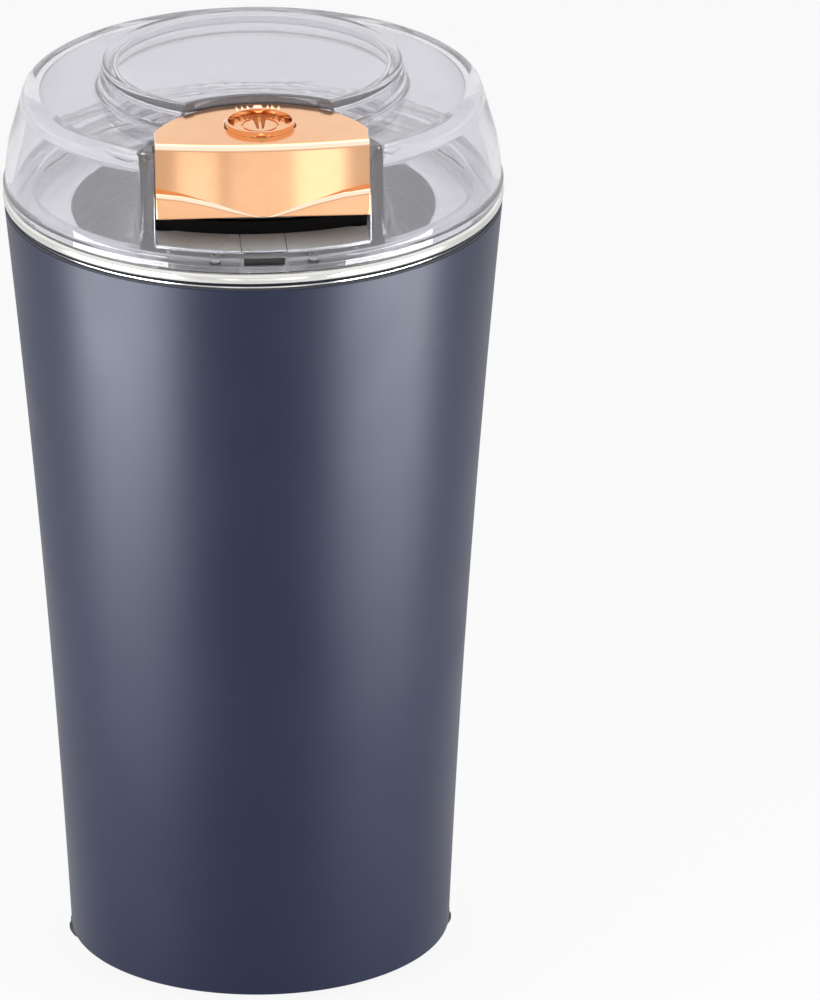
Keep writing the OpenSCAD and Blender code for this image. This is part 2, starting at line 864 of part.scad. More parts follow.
module button_guide() {
    color([0.03, 0.03, 0.03])
    difference() {
        union() {
            at_z(floor_z) linear_extrude(guide_h) difference() {
                recess_plan(guide_half, guide_front, guide_arc);
                recess_plan(guide_half - guide_t, guide_front + guide_t, guide_arc - guide_t);
            }
            pair_x(boss_x) translate([0, -32.5, 0]) disc(1.9, floor_z, floor_z + guide_h);
        }
        pair_x(boss_x) translate([0, -32.5, 0]) disc(1.05, floor_z - 1, floor_z + guide_h - 0.8);
    }
}

module guide_screws() {
    color("silver")
    pair_x(boss_x) translate([0, -32.5, 0]) screw(1, 2, 1.2, under_floor, floor_z + 2.6);
}

module button_springs() {
    color("silver")
    pair_x(spring_x) translate([0, spring_y, floor_z + 0.05])
        coil(2.5, 0.3, 6, spring_top - floor_z - 0.1);
}

// Outline of the cap from above: bowed front, arc at the back
module cap_plan(inset = 0) {
    intersection() {
        translate([0, cap_face_r - cap_front]) circle(cap_face_r - inset, $fn = 96);
        translate([0, arc_y]) circle(cap_back_r - inset, $fn = 96);
        translate([inset - cap_half, -60]) square([2 * (cap_half - inset), 60]);
    }
}

// Front plate of the cap, with a shallow V as its upper edge
module cap_plate() {
    edge = [[0, 0.25], [5, 1.6], [10, 3.1], [15, 4.3], [cap_half, vee_rise]];
    left = [for (i = [4:-1:1]) [-edge[i][0], edge[i][1]]];
    translate([0, -36, cap_z]) rotate([90, 0, 0]) linear_extrude(cap_front - 36)
        polygon(concat([[-cap_half, 0]], left, edge, [[cap_half, 0]]));
}

module button_cap() {
    color([0.93, 0.66, 0.46])
    difference() {
        union() {
            at_z(cap_z) linear_extrude(cap_h) cap_plan();
            cap_plate();
        }
        at_z(cap_z - 1) linear_extrude(cap_h - cap_t + 1) cap_plan(cap_t);
    }
}

module button_carrier() {
    color([0.04, 0.04, 0.04])
    difference() {
        union() {
            at_z(carrier_z) linear_extrude(cap_top - cap_t - carrier_z)
                recess_plan(12.8, -33.6, cap_back_r - cap_t - 0.1);
            at_z(cap_z + 2) linear_extrude(2)
                recess_plan(cap_half - cap_t - 0.2, -37.4, cap_back_r - cap_t - 0.1);
        }
        pair_x(spring_x) translate([0, spring_y, 0]) disc(3.1, carrier_z - 1, spring_top);
    }
}

module plunger() {
    color([0.8, 0.8, 0.82])
    union() {
        box(-stem_half, stem_half, stem_front, stem_back, foot_z, carrier_z);
        box(-stem_half, stem_half, foot_front, stem_front + eps, foot_z, foot_z + foot_t);
    }
}

outer_sleeve();
rim_ring();
top_collar();
collar_screws();
grinding_bowl();
bowl_washer();
bowl_nut();
motor_bracket();
bracket_screws();
upper_bearing();
shaft_seal();
inner_frame();
stator_core();
field_coils();
lower_bracket();
lower_bearing();
motor_bolts();
brush_holders();
carbon_brushes();
brush_springs();
base_plate();
base_screws();
rubber_feet();
circuit_board();
board_screws();
rectifier();
suppressor_capacitor();
terminal_block();
cord_gland();
gland_nut();
cord_clamp();
clamp_screws();
motor_leads();
switch_leads();
microswitch();
lever_pin();
switch_lever();
switch_plunger();
interlock_pin();
pin_clip();
pin_spring();
drive_shaft();
armature_core();
armature_windings();
commutator();
cooling_fan();
blade_spacer();
blade();
blade_nut();
lid_shell();
button_guide();
guide_screws();
button_springs();
button_cap();
button_carrier();
plunger();
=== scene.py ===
import math
import bmesh
import bpy
from mathutils import Matrix, Vector


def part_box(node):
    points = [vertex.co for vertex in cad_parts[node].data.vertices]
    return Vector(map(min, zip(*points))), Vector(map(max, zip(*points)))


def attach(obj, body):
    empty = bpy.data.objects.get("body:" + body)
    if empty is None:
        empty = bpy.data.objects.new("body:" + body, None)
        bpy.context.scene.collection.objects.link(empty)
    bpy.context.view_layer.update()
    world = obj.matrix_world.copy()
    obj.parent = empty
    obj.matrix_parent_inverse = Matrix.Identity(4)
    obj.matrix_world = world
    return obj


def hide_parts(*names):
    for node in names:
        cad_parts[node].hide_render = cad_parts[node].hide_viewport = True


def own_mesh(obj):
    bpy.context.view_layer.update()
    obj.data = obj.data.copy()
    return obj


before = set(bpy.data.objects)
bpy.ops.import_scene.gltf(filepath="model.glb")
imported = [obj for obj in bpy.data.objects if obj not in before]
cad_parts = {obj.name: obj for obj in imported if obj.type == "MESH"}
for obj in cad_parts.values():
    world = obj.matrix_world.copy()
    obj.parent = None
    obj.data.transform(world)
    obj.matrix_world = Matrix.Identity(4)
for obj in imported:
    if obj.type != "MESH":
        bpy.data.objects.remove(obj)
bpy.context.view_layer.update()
scene = bpy.context.scene
mm = 0.001
sharpAngle = 35
beyond = 60                             # millimetres, outside everything that is cut
arcCentre = -41.4                       # Y of the round back of the recess, the guide and the cap
footReach = (32.2, 26.5)                # how far out: side feet, front and back feet
print("frame loaded:", len(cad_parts), "nodes")


def boxMm(node):
    low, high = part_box(node)
    return low / mm, high / mm


cameraView = {
    "lens": 474.7,
    "sensor": 36.0,
    "nearest": 0.05,
    "aim": (0.0, 0.0, 0.092),       # point on the axis that the view is set out from
    "aimPixel": (256.4, 482.5),     # where that point falls in the frame
    "frameSize": (820, 1000),
    "distance": 2.5,
    "azimuth": -2.4,
    "elevation": 22.2,
    "roll": -0.28,
}


def makeCamera(view):
    data = bpy.data.cameras.new("camera")
    data.lens = view["lens"]
    data.sensor_width = view["sensor"]
    data.clip_start = view["nearest"]
    camera = bpy.data.objects.new("camera", data)
    scene.collection.objects.link(camera)
    turn = math.radians(view["azimuth"])
    lift = math.radians(view["elevation"])
    back = Vector((math.sin(turn) * math.cos(lift), -math.cos(turn) * math.cos(lift),
                   math.sin(lift)))
    aim = Vector(view["aim"])
    place = aim + back * view["distance"]
    axes = (-back).to_track_quat("-Z", "Y").to_matrix()
    width, height = view["frameSize"]
    perPixel = view["distance"] * view["sensor"] / view["lens"] / max(width, height)
    across = (width / 2 - view["aimPixel"][0]) * perPixel
    down = (height / 2 - view["aimPixel"][1]) * perPixel
    look = aim + axes.col[0] * across - axes.col[1] * down
    camera.rotation_mode = "QUATERNION"
    tilt = Matrix.Rotation(math.radians(view["roll"]), 4, "Z").to_quaternion()
    camera.rotation_quaternion = (look - place).to_track_quat("-Z", "Y") @ tilt
    camera.location = place
    scene.camera = camera


studio = {
    "floorSize": 8.0,
    "floorColour": (0.68, 0.68, 0.69, 1),
    "floorWhiten": 0.9,             # share of white for the camera and through glass
    "floorGloss": 0.56,             # the same for reflections of the floor
    "floorRough": 0.9,
    "floorSheen": 0.1,
    "ambient": 0.52,
    "panels": {
        # name: (azimuth from the front, distance, height of the middle, width, height, watts)
        "leftPanel": (-63, 0.25, 0.046, 0.23, 0.088, 0.82),
        "rightPanel": (59, 0.25, 0.046, 0.21, 0.088, 0.74),
        "leftStrip": (-11.8, 0.30, 0.067, 0.045, 0.05, 0.0052),
        "middleStrip": (7.3, 0.30, 0.067, 0.13, 0.05, 0.0085),
        "rightStrip": (14.2, 0.30, 0.067, 0.057, 0.05, 0.0075),
        "topPanel": (180, 0.35, 1.25, 0.9, 0.9, 3.4),
    },
    "panelAim": (0.0, 0.0, 0.115),
}


def addShaderNode(tree, kind, settings=None, inputs=None):
    node = tree.nodes.new(kind)
    for key, value in (settings or {}).items():
        setattr(node, key, value)
    for key, value in (inputs or {}).items():
        if isinstance(value, bpy.types.NodeSocket):
            tree.links.new(value, node.inputs[key])
        else:
            node.inputs[key].default_value = value
    return node


def whiteRays(tree, glossy):
    # 1 for camera and transmitted rays, so glass shows the white too; a share for reflections
    path = addShaderNode(tree, "ShaderNodeLightPath")
    share = addShaderNode(tree, "ShaderNodeMath", {"operation": "MULTIPLY"},
                          {0: path.outputs["Is Glossy Ray"], 1: glossy})
    first = addShaderNode(tree, "ShaderNodeMath", {"operation": "MAXIMUM"},
                          {0: path.outputs["Is Camera Ray"], 1: share.outputs[0]})
    return addShaderNode(tree, "ShaderNodeMath", {"operation": "MAXIMUM"},
                         {0: first.outputs[0], 1: path.outputs["Is Transmission Ray"]}).outputs[0]


def makeStudio(s):
    world = bpy.data.worlds.new("studio")
    world.use_nodes = True
    tree = world.node_tree
    background = tree.nodes["Background"]
    background.inputs["Color"].default_value = (1, 1, 1, 1)
    level = addShaderNode(tree, "ShaderNodeMapRange", None,
                          {"Value": whiteRays(tree, 1.0), "To Min": s["ambient"], "To Max": 1.0})
    tree.links.new(level.outputs[0], background.inputs["Strength"])
    scene.world = world

    material = bpy.data.materials.new("floorPaper")
    material.use_nodes = True
    tree = material.node_tree
    paper = tree.nodes["Principled BSDF"]
    paper.inputs["Base Color"].default_value = s["floorColour"]
    paper.inputs["Roughness"].default_value = s["floorRough"]
    paper.inputs["Specular IOR Level"].default_value = s["floorSheen"]
    glow = addShaderNode(tree, "ShaderNodeEmission", None, {"Color": (1, 1, 1, 1), "Strength": 1.0})
    share = addShaderNode(tree, "ShaderNodeMath", {"operation": "MULTIPLY"},
                          {0: whiteRays(tree, s["floorGloss"]), 1: s["floorWhiten"]})
    mix = addShaderNode(tree, "ShaderNodeMixShader", None,
                        {0: share.outputs[0], 1: paper.outputs[0], 2: glow.outputs[0]})
    tree.links.new(mix.outputs[0], tree.nodes["Material Output"].inputs["Surface"])
    bm = bmesh.new()
    bmesh.ops.create_grid(bm, x_segments=1, y_segments=1, size=s["floorSize"] / 2)
    mesh = bpy.data.meshes.new("floor")
    bm.to_mesh(mesh)
    bm.free()
    mesh.materials.append(material)
    floor = bpy.data.objects.new("floor", mesh)
    scene.collection.objects.link(floor)

    aim = Vector(s["panelAim"])
    for name, (azimuth, distance, height, width, tall, watts) in s["panels"].items():
        data = bpy.data.lights.new(name, "AREA")
        data.shape = "RECTANGLE"
        data.size = width
        data.size_y = tall
        data.energy = watts
        lamp = bpy.data.objects.new(name, data)
        lamp.visible_camera = False
        scene.collection.objects.link(lamp)
        turn = math.radians(azimuth)
        lamp.location = (math.sin(turn) * distance, -math.cos(turn) * distance, height)
        lamp.rotation_mode = "QUATERNION"
        lamp.rotation_quaternion = (aim - lamp.location).to_track_quat("-Z", "Y")


makeCamera(cameraView)
makeStudio(studio)
scene.view_settings.view_transform = "Standard"
print("camera, floor and lamps are in")


def startGroup(name, inputs):
    tree = bpy.data.node_groups.new(name, "ShaderNodeTree")
    for label, value in inputs.items():
        socket = tree.interface.new_socket(label, in_out="INPUT", socket_type="NodeSocketFloat")
        socket.default_value = value
    tree.interface.new_socket("Mask", in_out="OUTPUT", socket_type="NodeSocketFloat")
    tree.interface.new_socket("Normal", in_out="OUTPUT", socket_type="NodeSocketVector")
    entry = tree.nodes.new("NodeGroupInput")
    result = tree.nodes.new("NodeGroupOutput")
    return tree, entry, result


def finishGroup(tree, entry, result, mask):
    # the mask also raises the surface by Depth, in millimetres
    depth = addShaderNode(tree, "ShaderNodeMath", {"operation": "MULTIPLY"},
                          {0: entry.outputs["Depth"], 1: mm})
    bump = addShaderNode(tree, "ShaderNodeBump", None,
                         {"Distance": depth.outputs[0], "Height": mask, "Strength": 1.0})
    tree.links.new(mask, result.inputs["Mask"])
    tree.links.new(bump.outputs[0], result.inputs["Normal"])
    return tree


def perMillimetre(tree, entry):
    # a noise scale from a grain size in millimetres
    return addShaderNode(tree, "ShaderNodeMath", {"operation": "DIVIDE"},
                         {0: 1 / mm, 1: entry.outputs["Size"]}).outputs[0]


def makeGrainGroup():
    # fine moulded or sprayed grain
    tree, entry, result = startGroup("grain", {"Size": 0.4, "Depth": 0.01, "Detail": 2.0})
    place = addShaderNode(tree, "ShaderNodeTexCoord")
    noise = addShaderNode(tree, "ShaderNodeTexNoise", None,
                          {"Vector": place.outputs["Object"], "Scale": perMillimetre(tree, entry),
                           "Detail": entry.outputs["Detail"], "Roughness": 0.55})
    return finishGroup(tree, entry, result, noise.outputs["Fac"])


def makeTurnedGroup():
    # fine lines round the Z axis, left by turning or polishing
    tree, entry, result = startGroup("turnedLines", {"Size": 0.25, "Depth": 0.004, "Wander": 0.08})
    place = addShaderNode(tree, "ShaderNodeTexCoord")
    parts = addShaderNode(tree, "ShaderNodeSeparateXYZ", None, {0: place.outputs["Object"]})
    flat = addShaderNode(tree, "ShaderNodeCombineXYZ", None,
                         {0: parts.outputs[0], 1: parts.outputs[1]})
    radius = addShaderNode(tree, "ShaderNodeVectorMath", {"operation": "LENGTH"},
                           {0: flat.outputs[0]})
    around = addShaderNode(tree, "ShaderNodeVectorMath", {"operation": "NORMALIZE"},
                           {0: flat.outputs[0]})
    drift = addShaderNode(tree, "ShaderNodeVectorMath", {"operation": "SCALE"},
                          {0: around.outputs[0]})
    short = addShaderNode(tree, "ShaderNodeMath", {"operation": "MULTIPLY"},
                          {0: entry.outputs["Wander"], 1: mm})
    tree.links.new(short.outputs[0], drift.inputs["Scale"])
    lines = addShaderNode(tree, "ShaderNodeCombineXYZ", None,
                          {0: radius.outputs["Value"], 1: 0.0, 2: parts.outputs[2]})
    where = addShaderNode(tree, "ShaderNodeVectorMath", {"operation": "ADD"},
                          {0: lines.outputs[0], 1: drift.outputs[0]})
    noise = addShaderNode(tree, "ShaderNodeTexNoise", None,
                          {"Vector": where.outputs[0], "Scale": perMillimetre(tree, entry),
                           "Detail": 3.0, "Roughness": 0.6})
    return finishGroup(tree, entry, result, noise.outputs["Fac"])


def makeDriftGroup():
    # broad soft change over the surface, as from handling or uneven flow
    tree, entry, result = startGroup("softDrift",
                                     {"Size": 18.0, "Depth": 0.0, "Low": 0.35, "High": 0.7})
    place = addShaderNode(tree, "ShaderNodeTexCoord")
    noise = addShaderNode(tree, "ShaderNodeTexNoise", None,
                          {"Vector": place.outputs["Object"], "Scale": perMillimetre(tree, entry),
                           "Detail": 4.0, "Roughness": 0.5, "Distortion": 0.3})
    ramp = addShaderNode(tree, "ShaderNodeMapRange", {"interpolation_type": "SMOOTHSTEP"},
                         {"Value": noise.outputs["Fac"], "From Min": entry.outputs["Low"],
                          "From Max": entry.outputs["High"]})
    return finishGroup(tree, entry, result, ramp.outputs[0])


def makeStripeGroup():
    # parallel lines along Z, such as laminations or a wound layer
    tree, entry, result = startGroup("stripes", {"Size": 0.5, "Depth": 0.05, "Wander": 0.4})
    place = addShaderNode(tree, "ShaderNodeTexCoord")
    wave = addShaderNode(tree, "ShaderNodeTexWave", {"bands_direction": "Z"},
                         {"Vector": place.outputs["Object"], "Scale": perMillimetre(tree, entry),
                          "Distortion": entry.outputs["Wander"], "Detail": 1.0})
    return finishGroup(tree, entry, result, wave.outputs["Fac"])


effects = {
    "grain": makeGrainGroup(),
    "turnedLines": makeTurnedGroup(),
    "softDrift": makeDriftGroup(),
    "stripes": makeStripeGroup(),
}


def newMaterial(name, shaderValues):
    material = bpy.data.materials.new(name)
    material.use_nodes = True
    tree = material.node_tree
    shader = tree.nodes["Principled BSDF"]
    for key, value in shaderValues.items():
        shader.inputs[key].default_value = value
    return material, tree, shader


def addEffect(tree, effect, **values):
    node = tree.nodes.new("ShaderNodeGroup")
    node.node_tree = effects[effect]
    for key, value in values.items():
        node.inputs[key.capitalize()].default_value = value
    return node


def mixTones(tree, shader, mask, dark, light):
    mix = addShaderNode(tree, "ShaderNodeMix", {"data_type": "RGBA"},
                        {"Factor": mask, "A": (*dark, 1), "B": (*light, 1)})
    tree.links.new(mix.outputs["Result"], shader.inputs["Base Color"])
    return mix.outputs["Result"]


def spread(tree, shader, socket, mask, low, high):
    ramp = addShaderNode(tree, "ShaderNodeMapRange", None,
                         {"Value": mask, "To Min": low, "To Max": high})
    tree.links.new(ramp.outputs[0], shader.inputs[socket])


sleeveLook = {
    "dark": (0.001, 0.0035, 0.020),
    "light": (0.002, 0.005, 0.026),
    "sheen": (0.83, 0.875, 1.0, 1),
    "flake": 0.18,
    "flakeDepth": 0.0012,
    "flakeDetail": 3.0,
    "driftSize": 30.0,
    "roughLow": 0.38,
    "roughHigh": 0.44,
}


def makeSleevePaint(look):
    material, tree, shader = newMaterial("sleevePaint",
                                         {"Metallic": 0.0, "Specular Tint": look["sheen"]})
    flake = addEffect(tree, "grain", size=look["flake"], depth=look["flakeDepth"],
                      detail=look["flakeDetail"])
    drift = addEffect(tree, "softDrift", size=look["driftSize"])
    mixTones(tree, shader, flake.outputs["Mask"], look["dark"], look["light"])
    spread(tree, shader, "Roughness", drift.outputs["Mask"], look["roughLow"], look["roughHigh"])
    tree.links.new(flake.outputs["Normal"], shader.inputs["Normal"])
    return material


def makeTurnedMetal(name, dark, light, lineSize, lineDepth, roughLow, roughHigh):
    material, tree, shader = newMaterial(name, {"Metallic": 1.0})
    lines = addEffect(tree, "turnedLines", size=lineSize, depth=lineDepth)
    drift = addEffect(tree, "softDrift", size=12.0)
    mixTones(tree, shader, drift.outputs["Mask"], dark, light)
    spread(tree, shader, "Roughness", lines.outputs["Mask"], roughLow, roughHigh)
    tree.links.new(lines.outputs["Normal"], shader.inputs["Normal"])
    return material


def makePlainMetal(name, dark, light, grainSize, grainDepth, roughLow, roughHigh):
    material, tree, shader = newMaterial(name, {"Metallic": 1.0})
    grain = addEffect(tree, "grain", size=grainSize, depth=grainDepth)
    drift = addEffect(tree, "softDrift", size=9.0)
    mixTones(tree, shader, drift.outputs["Mask"], dark, light)
    spread(tree, shader, "Roughness", grain.outputs["Mask"], roughLow, roughHigh)
    tree.links.new(grain.outputs["Normal"], shader.inputs["Normal"])
    return material


capLook = {
    "dark": (0.90, 0.49, 0.26),
    "light": (0.93, 0.53, 0.30),
    "edge": (1.0, 0.86, 0.66),      # painted highlight: lighter colour on the rounded edges, where upright turns to level
    "highlightFrom": (0.12, 0.4),
    "highlightTo": (0.75, 0.96),
    "roughLow": 0.12,
    "roughHigh": 0.16,
}


def makeRoseGold(look):
    material, tree, shader = newMaterial("roseGold", {"Metallic": 1.0})
    grain = addEffect(tree, "grain", size=1.2, depth=0.002)
    drift = addEffect(tree, "softDrift", size=9.0)
    tone = mixTones(tree, shader, drift.outputs["Mask"], look["dark"], look["light"])
    # painted highlight: the base colour turns light where the surface is half upright, on the
    # rounded edges
    facing = addShaderNode(tree, "ShaderNodeTexCoord")
    parts = addShaderNode(tree, "ShaderNodeSeparateXYZ", None, {0: facing.outputs["Normal"]})
    upward = parts.outputs["Z"]
    (startLow, startHigh), (endLow, endHigh) = look["highlightFrom"], look["highlightTo"]
    start = addShaderNode(tree, "ShaderNodeMapRange", {"interpolation_type": "SMOOTHSTEP"},
                          {"Value": upward, "From Min": startLow, "From Max": startHigh})
    end = addShaderNode(tree, "ShaderNodeMapRange", {"interpolation_type": "SMOOTHSTEP"},
                        {"Value": upward, "From Min": endLow, "From Max": endHigh,
                         "To Min": 1.0, "To Max": 0.0})
    highlightBand = addShaderNode(tree, "ShaderNodeMath", {"operation": "MULTIPLY"},
                         {0: start.outputs[0], 1: end.outputs[0]})
    edge = addShaderNode(tree, "ShaderNodeMix", {"data_type": "RGBA"},
                         {"Factor": highlightBand.outputs[0], "A": tone, "B": (*look["edge"], 1)})
    tree.links.new(edge.outputs["Result"], shader.inputs["Base Color"])
    spread(tree, shader, "Roughness", grain.outputs["Mask"], look["roughLow"], look["roughHigh"])
    tree.links.new(grain.outputs["Normal"], shader.inputs["Normal"])
    return material


def makePlastic(name, dark, light, grainSize=0.35, grainDepth=0.004, roughLow=0.4,
                roughHigh=0.55, gloss=0.5):
    material, tree, shader = newMaterial(name, {"Metallic": 0.0, "Specular IOR Level": gloss})
    grain = addEffect(tree, "grain", size=grainSize, depth=grainDepth)
    drift = addEffect(tree, "softDrift", size=14.0)
    mixTones(tree, shader, drift.outputs["Mask"], dark, light)
    spread(tree, shader, "Roughness", grain.outputs["Mask"], roughLow, roughHigh)
    tree.links.new(grain.outputs["Normal"], shader.inputs["Normal"])
    return material


lidLook = {
    "tint": (0.905, 0.90, 0.94),
    "deep": (0.88, 0.875, 0.92),
    "ior": 1.49,
    "clear": 0.88,                  # the rest is a faint milkiness
    "roughLow": 0.0,
    "roughHigh": 0.03,
}
ledgeLook = {**lidLook, "tint": (0.89, 0.96, 1.0), "deep": (0.85, 0.92, 0.97), "clear": 0.15,
             "roughLow": 0.25, "roughHigh": 0.4}


def makeClearPlastic(name, look):
    material, tree, shader = newMaterial(
        name, {"Metallic": 0.0, "Transmission Weight": look["clear"], "IOR": look["ior"]})
    drift = addEffect(tree, "softDrift", size=22.0, depth=0.01)
    mixTones(tree, shader, drift.outputs["Mask"], look["deep"], look["tint"])
    spread(tree, shader, "Roughness", drift.outputs["Mask"], look["roughLow"], look["roughHigh"])
    tree.links.new(drift.outputs["Normal"], shader.inputs["Normal"])
    return material


def makeStriped(name, dark, light, size, depth, rough, metallic):
    material, tree, shader = newMaterial(name, {"Metallic": metallic, "Roughness": rough})
    lines = addEffect(tree, "stripes", size=size, depth=depth)
    mixTones(tree, shader, lines.outputs["Mask"], dark, light)
    tree.links.new(lines.outputs["Normal"], shader.inputs["Normal"])
    return material


def grey(value):
    return value, value, value


finishes = {
    # metals turned on a lathe: dark, light, line size, line depth, least and most roughness
    "rim_chrome": makeTurnedMetal("rimChrome", (0.80, 0.79, 0.76), (0.88, 0.87, 0.83),
                                  0.3, 0.0008, 0.10, 0.2),
    "bowl_steel": makeTurnedMetal("bowlSteel", grey(0.80), grey(0.87), 0.35, 0.003, 0.2, 0.32),
    # plain metals: dark, light, grain size, grain depth, least and most roughness
    "blade_steel": makePlainMetal("bladeSteel", grey(0.6), grey(0.7), 0.3, 0.002, 0.18, 0.3),
    "screw_steel": makePlainMetal("zincPlate", grey(0.48), (0.58, 0.58, 0.56),
                                  0.2, 0.002, 0.25, 0.4),
    "spring_steel": makePlainMetal("drawnWire", grey(0.42), grey(0.54), 0.15, 0.002, 0.22, 0.36),
    "bearing_bronze": makePlainMetal("sinteredBronze", (0.5, 0.34, 0.14), (0.64, 0.45, 0.2),
                                     0.12, 0.01, 0.35, 0.5),
    "cast_aluminium": makePlainMetal("castAluminium", grey(0.5), grey(0.62),
                                     0.6, 0.01, 0.35, 0.5),
    # layered metals: dark, light, line size, line depth, roughness, metallic
    "lamination_steel": makeStriped("laminations", grey(0.10), grey(0.22), 0.16, 0.02, 0.5, 0.8),
    "copper_wire": makeStriped("enamelledCopper", (0.42, 0.14, 0.05), (0.72, 0.32, 0.15),
                               0.2, 0.08, 0.3, 0.9),
    # plastics: dark, light, grain size, grain depth, least and most roughness, gloss
    # painted shade: a black guide part whose near-black, low-gloss finish stands in for the
    # shadowed hollow under the button
    "pocket_black": makePlastic("pocketShadeBlack", grey(0.002), grey(0.004),
                                0.3, 0.003, 0.5, 0.65, 0.15),
    "white_nylon": makePlastic("whiteNylon", grey(0.68), grey(0.86), 0.25, 0.03, 0.45, 0.6),
    "black_plastic": makePlastic("blackPlastic", grey(0.02), grey(0.032), 0.4, 0.012),
    "frame_plastic": makePlastic("framePlastic", (0.62, 0.61, 0.57), (0.72, 0.71, 0.67),
                                 0.5, 0.01),
    "yellow_plastic": makePlastic("capacitorYellow", (0.68, 0.48, 0.06), (0.78, 0.58, 0.1)),
    "blue_plastic": makePlastic("terminalBlue", (0.04, 0.16, 0.42), (0.06, 0.22, 0.52)),
    "red_plastic": makePlastic("switchRed", (0.42, 0.03, 0.02), (0.52, 0.05, 0.03)),
    "board_green": makePlastic("solderMask", (0.02, 0.16, 0.055), (0.035, 0.22, 0.08),
                               0.15, 0.002, 0.2, 0.35),
    "black_rubber": makePlastic("blackRubber", grey(0.014), grey(0.024), 0.3, 0.02, 0.7, 0.85),
    "lead_insulation": makePlastic("leadSheath", (0.22, 0.035, 0.03), (0.3, 0.05, 0.045)),
    "carbon": makePlastic("pressedCarbon", grey(0.02), grey(0.045), 0.12, 0.01, 0.5, 0.7),
    "sleeve_paint": makeSleevePaint(sleeveLook),
    "clear_plastic": makeClearPlastic("clearPlastic", lidLook),
    "rose_gold": makeRoseGold(capLook),
}
ledgeFinish = makeClearPlastic("grainedPlastic", ledgeLook)
print("finishes made:", len(finishes))

for nodeName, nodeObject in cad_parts.items():
    for holder in nodeObject.material_slots:
        holder.material = finishes[holder.material.name.split(".")[0]]
print("CAD nodes dressed")


def spinProfile(points, rounds=None, steps=192):
    # closed outline of (radius, height) points, turned round the axis
    bm = bmesh.new()
    corners = [bm.verts.new((r, 0, z)) for r, z in points]
    bm.faces.new(corners)
    for index, size in (rounds or {}).items():
        bmesh.ops.bevel(bm, geom=[corners[index]], offset=size, offset_type="OFFSET",
                        affect="VERTICES", segments=5, profile=0.5, material=-1)
    bmesh.ops.delete(bm, geom=bm.faces[:], context="FACES_ONLY")
    onAxis = [e for e in bm.edges if all(abs(v.co.x) < 1e-6 for v in e.verts)]
    bmesh.ops.delete(bm, geom=onAxis, context="EDGES")
    bmesh.ops.spin(bm, geom=bm.verts[:] + bm.edges[:], cent=(0, 0, 0), axis=(0, 0, 1),
                   angle=2 * math.pi, steps=steps, use_merge=True)
    bmesh.ops.remove_doubles(bm, verts=bm.verts[:], dist=1e-4)
    bmesh.ops.recalc_face_normals(bm, faces=bm.faces[:])
    return bm


def makeDisc(radius, low, high, centre=(0, 0), segments=64, axis="Z"):
    # round bar between two levels of an axis; centre is in the other two
    bm = bmesh.new()
    bmesh.ops.create_cone(bm, cap_ends=True, segments=segments, radius1=radius, radius2=radius,
                          depth=high - low)
    middle = (low + high) / 2
    if axis == "Y":
        bmesh.ops.rotate(bm, verts=bm.verts[:], cent=(0, 0, 0),
                         matrix=Matrix.Rotation(math.pi / 2, 3, "X"))
        bmesh.ops.translate(bm, verts=bm.verts[:], vec=(centre[0], middle, centre[1]))
    else:
        bmesh.ops.translate(bm, verts=bm.verts[:], vec=(centre[0], centre[1], middle))
    return bm


def makeBlock(x0, x1, y0, y1, z0, z1):
    bm = bmesh.new()
    bmesh.ops.create_cube(bm, size=1)
    bmesh.ops.scale(bm, verts=bm.verts[:], vec=(x1 - x0, y1 - y0, z1 - z0))
    bmesh.ops.translate(bm, verts=bm.verts[:],
                        vec=((x0 + x1) / 2, (y0 + y1) / 2, (z0 + z1) / 2))
    return bm


def trim(bm, point, normal):
    # cut off what lies on the side that the normal points to, and close the cut
    cut = bmesh.ops.bisect_plane(bm, geom=bm.verts[:] + bm.edges[:] + bm.faces[:],
                                 plane_co=point, plane_no=normal, clear_outer=True)
    rim = [g for g in cut["geom_cut"] if isinstance(g, bmesh.types.BMEdge)]
    bmesh.ops.contextual_create(bm, geom=rim)
    return bm


def holdObject(bm):
    mesh = bpy.data.meshes.new("tool")
    bm.to_mesh(mesh)
    bm.free()
    tool = bpy.data.objects.new("tool", mesh)
    scene.collection.objects.link(tool)
    return tool


def combine(bm, others, operation):
    # exact boolean of one shape with several others
    base = holdObject(bm)
    tools = [holdObject(other) for other in others]
    for tool in tools:
        step = base.modifiers.new("step", "BOOLEAN")
        step.operation = operation
        step.solver = "EXACT"
        step.object = tool
    bpy.context.view_layer.update()
    result = bmesh.new()
    result.from_object(base, bpy.context.evaluated_depsgraph_get())
    for used in [base, *tools]:
        mesh = used.data
        bpy.data.objects.remove(used)
        bpy.data.meshes.remove(mesh)
    bmesh.ops.remove_doubles(result, verts=result.verts[:], dist=1e-3)
    return result


def roundEdges(bm, size, angle=30, segments=3, keep=None):
    # round the edges that are sharper than the angle; keep(edge) may narrow the choice
    limit = math.radians(angle)
    sharp = [e for e in bm.edges if e.is_manifold and e.calc_face_angle() > limit
             and (keep is None or keep(e))]
    bmesh.ops.bevel(bm, geom=sharp, offset=size, offset_type="OFFSET", affect="EDGES",
                    segments=segments, profile=0.5, material=-1, clamp_overlap=False)
    return bm


def finishPiece(bm, name, slotName, body, nodes=(), finish=None):
    bmesh.ops.scale(bm, verts=bm.verts[:], vec=(mm, mm, mm))
    mesh = bpy.data.meshes.new(name)
    bm.to_mesh(mesh)
    bm.free()
    mesh.materials.append(finish or finishes[slotName])
    for polygon in mesh.polygons:
        polygon.use_smooth = True
    mesh.set_sharp_from_angle(angle=math.radians(sharpAngle))
    piece = bpy.data.objects.new(name, mesh)
    even = piece.modifiers.new("evenShading", "WEIGHTED_NORMAL")
    even.keep_sharp = True
    scene.collection.objects.link(piece)
    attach(piece, body)
    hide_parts(*nodes)
    print(name, len(mesh.polygons), "faces")
    return piece


